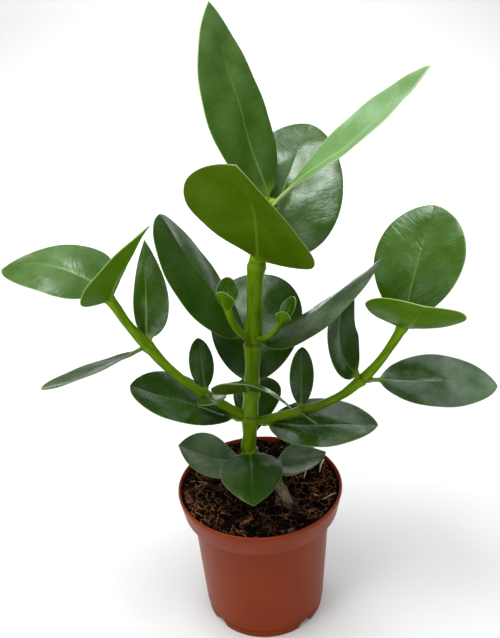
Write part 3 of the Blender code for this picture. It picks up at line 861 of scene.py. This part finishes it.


# Green bark: smooth and slightly glossy, yellow-green where young and deeper where older, with darker
# streaks along it, a low ridge down each side whose pale colour is a painted highlight along the stem's
# edges, and brown scar lines. Low down it turns grey and woody.
bark = new_material("green_bark", BARK_GREEN, 0.4, Specular_IOR_Level=0.1)
place = add_node(bark, "TexCoord").outputs["Object"]
around = add_node(bark, "Attribute", attribute_name="around").outputs["Vector"]
age, ridge, scar = (add_node(bark, "Attribute", attribute_name=key).outputs["Fac"]
                    for key in ("age", "ridge", "scar"))
along_bark = add_node(bark, "Mapping", {"Vector": around, "Scale": (1 / STREAK_WIDTH, 1 / STREAK_WIDTH,
                                                                    1 / STREAK_LENGTH)})
streaks = add_node(bark, "TexNoise", [along_bark, 1.0, 3.0])
streak_share = add_node(bark, "MapRange", [streaks, 0.45, 0.75, 0.0, 0.7])
green = add_node(bark, "Mix", [age, BARK_YOUNG, BARK_GREEN], data_type="RGBA")
streaked = add_node(bark, "Mix", [streak_share, green, BARK_STREAK], data_type="RGBA")
# Painted highlight: the ridges lie on the stem's left and right edges as the camera sees them, and their
# pale colour stands for light along those edges.
ridge_highlight_share = add_node(bark, "Math", [ridge, 0.6], operation="MULTIPLY")
ridge_highlighted = add_node(bark, "Mix", [ridge_highlight_share, streaked, BARK_RIDGE_HIGHLIGHT], data_type="RGBA")
scar_patch = add_node(bark, "MapRange", [streaks, 0.38, 0.55, 0.45, 1.0])
scar_share = add_node(bark, "Math", [scar, scar_patch], operation="MULTIPLY")
scarred = add_node(bark, "Mix", [scar_share, ridge_highlighted, BARK_SCAR], data_type="RGBA")
height = add_node(bark, "SeparateXYZ", [place]).outputs["Z"]
along_wood = add_node(bark, "Mapping", {"Vector": around, "Scale": (
    1 / WOOD_FIBRE_WIDTH, 1 / WOOD_FIBRE_WIDTH, 1 / WOOD_FIBRE_LENGTH)})
fibre = add_node(bark, "TexNoise", [along_wood, 1.0, 5.0])
wobble = add_node(bark, "Math", [fibre, 10 * MM, height], operation="MULTIPLY_ADD")
woody = add_node(bark, "MapRange", [wobble, (WOODY_BELOW + 13) * MM, (WOODY_BELOW + 3) * MM])
dry = add_node(bark, "MapRange", [height, (SOIL_LEVEL + 1) * MM, (SOIL_LEVEL + 8) * MM, 0.1])
fibre_share = add_node(bark, "MapRange", [fibre, 0.35, 0.62, 0.0, dry])
grey = add_node(bark, "Mix", [fibre_share, TRUNK_DARK, TRUNK_PALE], data_type="RGBA")
whole = add_node(bark, "Mix", [woody, scarred, grey], data_type="RGBA")
finish_with(bark, "Base Color", whole)
dull = add_node(bark, "MapRange", [woody, 0.0, 1.0, 0.36, 0.85])
finish_with(bark, "Roughness", dull)
bark_bump = add_node(bark, "Bump", {"Height": streaks, "Strength": 0.35, "Distance": 0.0003})
wood_bump = add_node(bark, "Bump", {"Height": fibre, "Strength": woody, "Distance": 0.0008,
                                    "Normal": bark_bump})
finish_with(bark, "Normal", wood_bump)

stem = bark_rod("woody_stem", STEM, STEM_COLUMNS)
material_of(stem, bark)
finish_piece(stem, "stem_bark", "stem")

# Husk of the trunk: dry grey-tan fibres that hug its woody foot and fan out into the soil
husk = []
for index in range(HUSK_COUNT):
    turn = rng.uniform(0, 2 * math.pi)
    share = rng.uniform(0.05, 0.7)
    axis = Vector(STEM[1][1]).lerp(Vector(STEM[2][1]), share)
    away = Vector((math.cos(turn), math.sin(turn), 0.0))
    start = axis + away * (STEM[1][2] + (STEM[2][2] - STEM[1][2]) * share - 0.2)
    fan = turn + rng.uniform(-0.6, 0.6)
    reach = rng.uniform(*HUSK_REACH)
    end_x = TRUNK_FOOT[0] + reach * math.cos(fan)
    end_y = TRUNK_FOOT[1] + reach * math.sin(fan)
    end = Vector((end_x, end_y, soil_height(end_x, end_y) - 0.4))
    points = []
    for step in range(7):
        wiggle = Vector((rng.uniform(-0.35, 0.35), rng.uniform(-0.35, 0.35), 0.0))
        points.append(start.lerp(end, step / 6) - away * 1.1 * math.sin(math.pi * step / 6) + wiggle)
    thick = rng.uniform(*HUSK_RADIUS)
    # Painted shade: strands on the trunk's right side are made darker and those on its left paler.
    husk.append((*strand(points, [thick * (1 - 0.09 * step) for step in range(7)], 5),
                 (0.7 - 0.5 * math.cos(fan)) * rng.random() ** 1.5))

# Husk: dry, dull fibres, each from dark brown to grey-tan by its own tone, which carries painted shade:
# darker on the trunk's right side, paler on its left.
dry_husk = new_material("dry_grey_husk", TRUNK_PALE, 0.85, Specular_IOR_Level=0.3)
tint_by_shade(dry_husk, TRUNK_DARK, TRUNK_PALE)
strands_piece("trunk_husk", husk, dry_husk, "stem_bark")

for name, joints, node in (("left_branch", LEFT_BRANCH, "branch_left"),
                           ("right_branch", RIGHT_BRANCH, "branch_right")):
    branch = bark_rod(name, joints, STEM_COLUMNS)
    material_of(branch, bark)
    finish_piece(branch, "stem_bark", node)


# Leaves
# Thick leathery blades in opposite pairs, each pair a quarter turn from the one below. The waxed upper
# skin is dark and glossy, the lower one olive and duller with a raised midrib, and the margin is pale.

# Each leaf: how grown it is, stem joint it grows from, tip point and width, then its shape.
# roll, fold and twist are degrees; bow, sway, hook, curl and lobe are millimetres;
# full and taper are the powers of the outline at its base and tip.
LEAVES = {
    "leaf_top_left": dict(
        growth="young", joint="top_pair", tip=(-16, 42, 430), width=55, roll=12, fold=4, curl=-2, bow=3,
        sway=5, lop=0.1, full=(0.5, 0.65), taper=(0.8, 0.95)),
    "leaf_top_right": dict(
        growth="newest", joint="top_pair", tip=(93, -62, 397), width=37, roll=34, fold=15, bow=-2, hook=5,
        full=1.0, taper=0.85, petiole=18),
    "leaf_upper_front": dict(
        growth="half_grown", joint="upper_pair", tip=(-4, -64, 354), width=80, roll=-20, fold=-14,
        curl=-3, bow=4, sway=3, twist=-25, lop=0.05, full=(1.0, 0.6), taper=(0.58, 0.9)),
    "leaf_upper_back": dict(
        growth="half_grown", joint="upper_pair", tip=(46, 58, 352), width=74, roll=18, fold=8, curl=-3,
        bow=6, lop=-0.1, full=(0.38, 0.5), taper=(0.65, 0.6)),
    "leaf_middle_left": dict(
        growth="old", joint="middle_pair", tip=(-56, 20, 307), width=54, roll=-6, fold=-12, sway=2,
        twist=20, full=(0.85, 0.6), taper=(0.42, 0.55)),
    "leaf_middle_right": dict(
        growth="old", joint="middle_pair", tip=(81, -22, 285), width=60, fold=-10, bow=-4, full=0.65,
        taper=0.85),
    "leaf_centre_front": dict(
        growth="mature", joint="centre_pair", tip=(-11, -75, 233), width=50, roll=2, curl=-12, bow=4,
        lobe=-3, lop=0.25, full=0.7, taper=0.5),
    "leaf_centre_back": dict(
        growth="old", joint="centre_pair", tip=(8, 60, 247), width=66, fold=3, curl=-2, bow=4, full=0.6,
        taper=0.45),
    "leaf_fork_left": dict(
        growth="mature", joint="fork_pair", start=(-5, -1, -1), tip=(-83, -12, 200), width=40, roll=-25,
        fold=6, lop=-0.06, full=(0.95, 0.7), taper=(0.7, 0.5)),
    "leaf_fork_right": dict(
        growth="mature", joint="fork_pair", start=(5, -1, -4), tip=(82, -18, 163), width=48, roll=12,
        fold=8, bow=-1, full=0.6, taper=0.7),
    "leaf_low_front": dict(
        growth="old", joint="second_pair", tip=(-5, -52, 128), width=44, fold=4, curl=-2, bow=3, full=0.5,
        taper=0.8, petiole=4),
    "leaf_low_back": dict(
        growth="old", joint="second_pair", tip=(5, 40, 173), width=36, fold=6, bow=4, full=1.2, taper=0.5),
    "leaf_base_left": dict(
        growth="old", joint="lowest_leaves", tip=(-58, 10, 136), width=43, roll=-5, fold=6, bow=-2,
        sway=2, full=(1.4, 0.8), taper=(0.6, 1.0)),
    "leaf_base_right": dict(
        growth="old", joint="lowest_leaves", tip=(48, -5, 134), width=46, roll=-10, fold=8, bow=-3,
        sway=-3, lop=0.15, full=(0.45, 0.6), taper=0.85),
    "leaf_left_small_back": dict(
        growth="old", joint="left_small_pair", tip=(-37, 8, 223), width=17, fold=4, full=0.6, taper=0.6,
        petiole=4),
    "leaf_left_small_front": dict(
        growth="mature", joint="left_small_pair", tip=(-25, -30, 194), width=20, roll=8, fold=4, full=0.5,
        taper=0.5, petiole=3),
    "leaf_left_inner": dict(
        growth="half_grown", joint="left_middle_pair", tip=(-66, 12, 293), width=24, fold=-6, lop=-0.25,
        full=0.5, taper=0.95, petiole=5),
    "leaf_left_outer": dict(
        growth="old", joint="left_middle_pair", tip=(-139, -20, 206), width=32, roll=12, fold=6, bow=-2,
        full=0.75, taper=0.5),
    "leaf_left_end_back": dict(
        growth="young", joint="left_end_pair", start=(-1, 2, 2), tip=(-156, 0, 282), width=48, roll=-24,
        fold=2, curl=-2, bow=9, sway=-4, lop=-0.1, full=(0.22, 0.35), taper=(1.0, 0.55), petiole=5),
    "leaf_left_end_front": dict(
        growth="young", joint="left_end_pair", start=(1, -2, -2), tip=(-53, -52, 321), width=44, roll=15,
        fold=19, sway=-5, full=0.3, taper=1.0, petiole=2),
    "leaf_right_small_back": dict(
        growth="old", joint="right_small_pair", tip=(34, 10, 211), width=17, fold=4, full=0.6, taper=0.6,
        petiole=4),
    "leaf_right_small_front": dict(
        growth="mature", joint="right_small_pair", tip=(40, -24, 170), width=15, roll=-48, fold=4, bow=-1,
        full=0.6, taper=0.6, petiole=4),
    "leaf_right_inner": dict(
        growth="old", joint="right_middle_pair", tip=(69, 10, 257), width=34, roll=38, fold=8, bow=-4,
        sway=17, lop=-0.1, full=0.5, taper=0.8, petiole=5),
    "leaf_right_outer": dict(
        growth="mature", joint="right_middle_pair", tip=(159, -22, 191), width=46, roll=20, fold=4, bow=2,
        full=0.65, taper=0.68, petiole=12),
    "leaf_right_end_back": dict(
        growth="young", joint="right_end_pair", tip=(123, 25, 302), width=60, fold=4, bow=2, full=0.7,
        taper=0.6, petiole=4),
    "leaf_right_end_front": dict(
        growth="young", joint="right_end_pair", tip=(97, -62, 269), width=60, roll=-14, fold=5, curl=3,
        bow=-3, full=0.5, taper=0.4, petiole=4),
}
BLADE_THICKNESS = 0.9
STALK_THICKNESS = 2.6
STALK_WIDTH = 3.2
CLASP_SWELL = 1.3
CLASP_PLACE = 4.8
CLASP_LENGTH = 1.8
LEAST_WIDTH = 0.7
KEEL_DEPTH = 0.75
GROOVE_DEPTH = 0.12
RUFFLE = 0.25
SWELL = 0.65
LEAF_ROWS = 60
ACROSS_STEPS = (0.012, 0.03, 0.06, 0.11, 0.19, 0.30, 0.43, 0.57, 0.70, 0.81, 0.90, 0.96, 0.99, 1.0)
WAX_BLOOM = "#e8f2ee"
MOTTLE = 16.0
VEIN_SPACING = 2.3
VEIN_SLANT = 0.62
VEIN_DRIFT = 9.0
WAX_PATCH = 6.0
PEBBLE = 0.9
RIPPLE_WIDTH = 2.8
RIPPLE_LENGTH = 8.0
MARGIN_WIDTH = 0.55
BOX_LOW, BOX_HIGH = np.array(cad_box) / MM


def leaf_middle(along, across, base, tip, width, roll=0, fold=0, curl=0, bow=0, sway=0, hook=0,
                twist=0, lobe=0, lop=0, full=0.7, taper=0.7, petiole=8):
    """The leaf's middle surface: along runs 0 to 1 from stem to tip, across -1 to 1."""
    base = np.array(base, float)
    chord = np.array(tip, float) - base
    length = np.linalg.norm(chord)
    forward = chord / length
    side = unit(np.cross((0.0, 0.0, 1.0), forward))
    upper = np.cross(forward, side)
    angle = math.radians(roll)
    side, upper = (math.cos(angle) * side + math.sin(angle) * upper,
                   -math.sin(angle) * side + math.cos(angle) * upper)
    t = along[:, None]
    hump = 4 * t * (1 - t)
    slope = 4 * (1 - 2 * t)
    centre = base + chord * t + upper * (bow + hook * (1 - 2 * t)) * hump + side * sway * hump
    rise = bow * slope + hook * 4 * ((1 - 2 * t) ** 2 - 2 * t * (1 - t))
    tangent = unit(chord + upper * rise + side * sway * slope)
    lateral = unit(np.cross(upper, tangent))
    normal = np.cross(tangent, lateral)
    turn = math.radians(twist) * (t - 0.5)
    lateral, normal = (np.cos(turn) * lateral + np.sin(turn) * normal,
                       -np.sin(turn) * lateral + np.cos(turn) * normal)
    blade = np.clip((along - petiole / length) / (1 - petiole / length), 0, 1)
    full_here = np.where(across < 0, *np.broadcast_to(full, 2))
    taper_here = np.where(across < 0, *np.broadcast_to(taper, 2))
    widest = full_here / (full_here + taper_here)
    peak = widest ** full_here * (1 - widest) ** taper_here
    outline = blade ** full_here * (1 - blade) ** taper_here / peak
    clasp = CLASP_SWELL * np.exp(-((along * length - CLASP_PLACE) / CLASP_LENGTH) ** 2)
    stalk_half = (STALK_WIDTH / 2 + clasp) * np.sqrt(1 - blade)
    half = np.maximum(width / 2 * outline, stalk_half)
    half = np.maximum(half, LEAST_WIDTH / 2)
    x = across * half * (1 + lop * across)
    edge = half * (1 + lop * np.sign(across)) - np.abs(x)
    v = math.radians(fold)
    lift = np.abs(x) * math.sin(v) + curl * (x / (width / 2)) ** 2
    lift += lobe * np.minimum(across, 0) ** 2 * np.cos(math.pi * blade) * half / (width / 2)
    point = centre + lateral * (x * math.cos(v))[:, None] + normal * lift[:, None]
    return point, normal, x, edge, blade, length


def leaf_piece(name, rows=LEAF_ROWS, seed=0, **spec):
    """One leaf as a closed, flattened tube: its upper skin first, then the lower one."""
    across_ring = np.array([*reversed(ACROSS_STEPS), 0.0, *(-step for step in ACROSS_STEPS)])
    ring = np.concatenate([across_ring, across_ring[::-1][1:]])
    layers = np.where(np.arange(len(ring)) < len(across_ring), 1.0, -1.0)
    even = np.arange(rows + 1) / rows
    alongs = 0.45 * even + 0.55 * (0.5 - 0.5 * np.cos(math.pi * even))

    def shape(column, row):
        across, layer, along = ring[column], layers[column], alongs[row]
        point, normal, x, edge, blade, length = leaf_middle(along, across, **spec)
        run = along * length
        grown = np.clip(blade / 0.12, 0, 1)
        grown = grown * grown * (3 - 2 * grown)
        fade = grown * np.clip((1 - blade) / 0.15, 0, 1)
        edge_share = np.abs(across)
        ruffle = RUFFLE * np.sin(run / 4.7 + seed) * edge_share ** 3 * fade
        swell = SWELL * np.sin(run / 8.3 + x / 6.1 + seed * 1.7) * (1 - edge_share ** 2) * fade
        blade_half = BLADE_THICKNESS / 2 * (1 - edge_share ** 2 + 1e-9) ** 0.16
        stalk_half = STALK_THICKNESS / 2 * np.sqrt(1 - edge_share ** 2 + 1e-9)
        thick = blade_half * grown + stalk_half * (1 - grown)
        thick = np.where(edge_share > 0.999, 0.0, thick)
        tail = np.clip(1 - blade, 0, 1)
        keel = KEEL_DEPTH * tail * np.exp(-(x / (0.5 + 0.7 * tail)) ** 2) * grown * (layer < 0)
        groove = GROOVE_DEPTH * tail * np.exp(-(x / 0.6) ** 2) * grown * (layer > 0)
        lift = ruffle + swell + layer * thick - keel - groove
        point = point + normal * lift[:, None]
        return np.clip(point, BOX_LOW, BOX_HIGH), {"rib": x, "edge": edge, "blade": blade, "run": run}

    return wrapped(name, len(ring) - 1, rows, shape, len(across_ring) - 1)


def leaf_skin(name, deep, light, rib_tint, edge_tint, stalk_tint, roughness, shine, ripple, rib_width):
    """One skin of a leaf: mottled green, fine slanting side veins, a pale midrib and a pale margin."""
    skin = new_material(name, deep, roughness, Specular_IOR_Level=shine, Specular_Tint=WAX_BLOOM)
    place = add_node(skin, "TexCoord").outputs["Object"]
    rib, edge, blade, run = (add_node(skin, "Attribute", attribute_name=key).outputs["Fac"]
                             for key in ("rib", "edge", "blade", "run"))
    off_rib = add_node(skin, "Math", [rib], operation="ABSOLUTE")

    # Green: deepest at the base, mottled further out
    cloud = add_node(skin, "TexNoise", [place, 1 / (MOTTLE * MM), 3.0])
    cloud_share = add_node(skin, "MapRange", [cloud, 0.2, 0.8])
    grown = add_node(skin, "MapRange", [blade, 0.0, 0.4, 0.1, cloud_share])
    green = add_node(skin, "Mix", [grown, deep, light], data_type="RGBA")

    # Side veins: faint slanting lines that wander a little
    slanted = add_node(skin, "Math", [off_rib, -VEIN_SLANT, run], operation="MULTIPLY_ADD")
    drift = add_node(skin, "TexNoise", [place, 1 / (VEIN_DRIFT * MM), 2.0])
    wander = add_node(skin, "Math", [drift, 2.4, slanted], operation="MULTIPLY_ADD")
    phase = add_node(skin, "Math", [wander, 2 * math.pi / VEIN_SPACING], operation="MULTIPLY")
    wave = add_node(skin, "Math", [phase], operation="SINE")
    vein = add_node(skin, "MapRange", [wave, 0.55, 1.0, 0.0, 0.05], interpolation_type="SMOOTHSTEP")
    veined = add_node(skin, "Mix", [vein, green, rib_tint], data_type="RGBA")

    # Midrib, stalk and margin
    half_rib = add_node(skin, "MapRange", [blade, 0.0, 1.0, rib_width, 0.15])
    nearness = add_node(skin, "Math", [off_rib, half_rib], operation="DIVIDE")
    rib_share = add_node(skin, "MapRange", [nearness, 0.55, 1.25, 0.75, 0.0],
                         interpolation_type="SMOOTHSTEP")
    tip_fade = add_node(skin, "MapRange", [blade, 0.35, 0.85, 1.0, 0.15])
    rib_mask = add_node(skin, "Math", [rib_share, tip_fade], operation="MULTIPLY")
    ribbed = add_node(skin, "Mix", [rib_mask, veined, rib_tint], data_type="RGBA")
    foot = add_node(skin, "MapRange", [blade, 0.0, 0.07, 0.9, 0.0], interpolation_type="SMOOTHSTEP")
    footed = add_node(skin, "Mix", [foot, ribbed, stalk_tint], data_type="RGBA")
    rim = add_node(skin, "MapRange", [edge, 0.45 * MARGIN_WIDTH, 1.2 * MARGIN_WIDTH, 0.8, 0.0],
                   interpolation_type="SMOOTHSTEP")
    rimmed = add_node(skin, "Mix", [rim, footed, edge_tint], data_type="RGBA")
    finish_with(skin, "Base Color", rimmed)

    # Wax: patchy gloss over pebbles, ripples that follow the veins, and shallow dimples
    patchy = add_node(skin, "TexNoise", [place, 1 / (WAX_PATCH * MM), 4.0])
    wax = add_node(skin, "MapRange", [patchy, 0.3, 0.7, roughness - 0.07, roughness + 0.09])
    finish_with(skin, "Roughness", wax)
    gloss = add_node(skin, "MapRange", [cloud, 0.35, 0.65, 0.6 * shine, 1.5 * shine])
    finish_with(skin, "Specular IOR Level", gloss)
    pebbles = add_node(skin, "TexNoise", [place, 1 / (PEBBLE * MM), 2.0])
    pebbled = add_node(skin, "Bump", {"Height": pebbles, "Strength": 0.15, "Distance": 0.00012})
    vein_place = add_node(skin, "CombineXYZ", [wander, off_rib])
    vein_map = add_node(skin, "Mapping", {"Vector": vein_place,
                                          "Scale": (1 / RIPPLE_WIDTH, 1 / RIPPLE_LENGTH, 1.0)})
    ripples = add_node(skin, "TexNoise", {"Vector": vein_map, "Scale": 1.0, "Detail": 3.0,
                                          "Distortion": 0.8})
    rippled = add_node(skin, "Bump", {"Height": ripples, "Strength": ripple, "Distance": 0.0005,
                                      "Normal": pebbled})
    dimpled = add_node(skin, "Bump", {"Height": patchy, "Strength": 0.45, "Distance": 0.0005,
                                      "Normal": rippled})
    finish_with(skin, "Normal", dimpled)
    return skin


# Waxed leaf skins: clear natural wax over green tissue, so the gloss is soft and the colour deep.
# Old leaves are dark and a little bluish, young ones bright; the undersides are olive and duller. The
# newest leaf's upper skin is pale partly because it is new and partly from a painted grey-green sheen.
# Each skin: deep and light green, tints of midrib, margin and stalk, roughness, shine, strength of
# the ripples, and the midrib's half width at its base.
LEAF_SKINS = [
    ("old", "wax", "#1e3807", "#2c480a", "#4c6030", "#5c6c3c", "#66841a", 0.28, 0.2, 0.3, 0.9),
    ("old", "underside", "#2c4206", "#3a5208", "#5c7420", "#68783c", "#66841a", 0.5, 0.1, 0.15, 1.3),
    ("mature", "wax", "#1e3a07", "#2c4c0a", "#4c6030", "#5c6c3c", "#66841a", 0.25, 0.75, 0.3, 0.9),
    ("mature", "underside", "#2c4206", "#3a5208", "#5c7420", "#68783c", "#66841a", 0.5, 0.1, 0.15, 1.3),
    ("half_grown", "wax", "#264203", "#325006", "#5f7e2c", "#6c8440", "#748f10", 0.24, 0.4, 0.22, 0.9),
    # Painted light: this underside is brighter and yellower for light shining through the leaf, over its
    # own olive.
    ("half_grown", "underside", "#415c01", "#506d04", "#66821a", "#8c9a5e", "#66841a", 0.5, 0.04, 0.15,
     1.3),
    ("young", "wax", "#2e4c02", "#3a6003", "#5e802a", "#86a85c", "#64841a", 0.26, 0.4, 0.45, 0.9),
    ("young", "underside", "#426602", "#507403", "#6a9018", "#98b066", "#64841a", 0.45, 0.05, 0.15, 1.2),
    # Painted sheen: the newest upper skin is paler and greyer to stand for a broad sheen, besides a new
    # leaf's lighter green.
    ("newest", "paler_with_painted_sheen", "#5b8237", "#7ba070", "#98b46a", "#c4d8ac", "#9cb44c", 0.34, 0.42, 0.15, 0.9),
    ("newest", "underside", "#587e30", "#86a85c", "#a8c070", "#ccdcb0", "#9cb44c", 0.45, 0.3, 0.15, 1.2),
]
skins_of = {}
for growth, side, *looks in LEAF_SKINS:
    skins_of.setdefault(growth, []).append(leaf_skin(f"{growth}_leaf_{side}", *looks))


def dress_leaf(piece, growth):
    for skin in skins_of[growth]:
        piece.data.materials.append(skin)


joint_places = {joint: spot for joint, spot, _ in STEM + LEFT_BRANCH + RIGHT_BRANCH}
for number, (name, spec) in enumerate(LEAVES.items()):
    spec = dict(spec)
    growth = spec.pop("growth")
    start = np.array(joint_places[spec.pop("joint")], float) + np.array(spec.pop("start", (0, 0, 0)), float)
    leaf = leaf_piece(name.replace("leaf", "waxed_leaf"), seed=2.1 * number, base=start, **spec)
    dress_leaf(leaf, growth)
    finish_piece(leaf, "young_leaf" if growth in ("young", "newest") else "mature_leaf", name)


# Side shoots
# Two new shoots in the axils of the middle pair: a thin bright green stem each, with two small
# leaflets that are still cupped round each other.
SHOOTS = {
    "shoot_left": dict(
        path=[((-1, -2, 223), 2.4), ((-7, -9, 233), 2.3), ((-12.5, -14, 244), 2.2), ((-15, -17, 256), 2.4)],
        leaflets=[
            dict(base=(-14.5, -16, 254), tip=(-13.8, -10, 273), width=14.5, curl=4),
            dict(base=(-15, -17, 254), tip=(-16.5, -27, 270), width=13, roll=-15, curl=4),
        ],
    ),
    "shoot_right": dict(
        path=[((2, -3, 225), 1.9), ((8, -12, 230), 1.8), ((14, -18, 237), 1.7), ((18, -21, 246), 1.8)],
        leaflets=[
            dict(base=(17.5, -20, 244), tip=(27.3, -14, 259), width=13, curl=3),
            dict(base=(18, -21, 244), tip=(20.5, -29, 255.5), width=10.5, roll=-35, curl=3),
        ],
    ),
}
SHOOT_COLUMNS = 20
LEAFLET_ROWS = 30

for name, spec in SHOOTS.items():
    joints = [("", spot, radius) for spot, radius in spec["path"]]
    parts = [bark_rod(name + "_stem", joints, SHOOT_COLUMNS)]
    material_of(parts[0], bark)
    for index, leaflet in enumerate(spec["leaflets"]):
        blade = leaf_piece(f"{name}_leaflet_{index}", rows=LEAFLET_ROWS, seed=index, petiole=2, bow=-3,
                           full=0.5, taper=0.5, **leaflet)
        dress_leaf(blade, "young")
        parts.append(blade)
    shoot = join_all(parts, "side_" + name)
    finish_piece(shoot, "young_leaf", name)
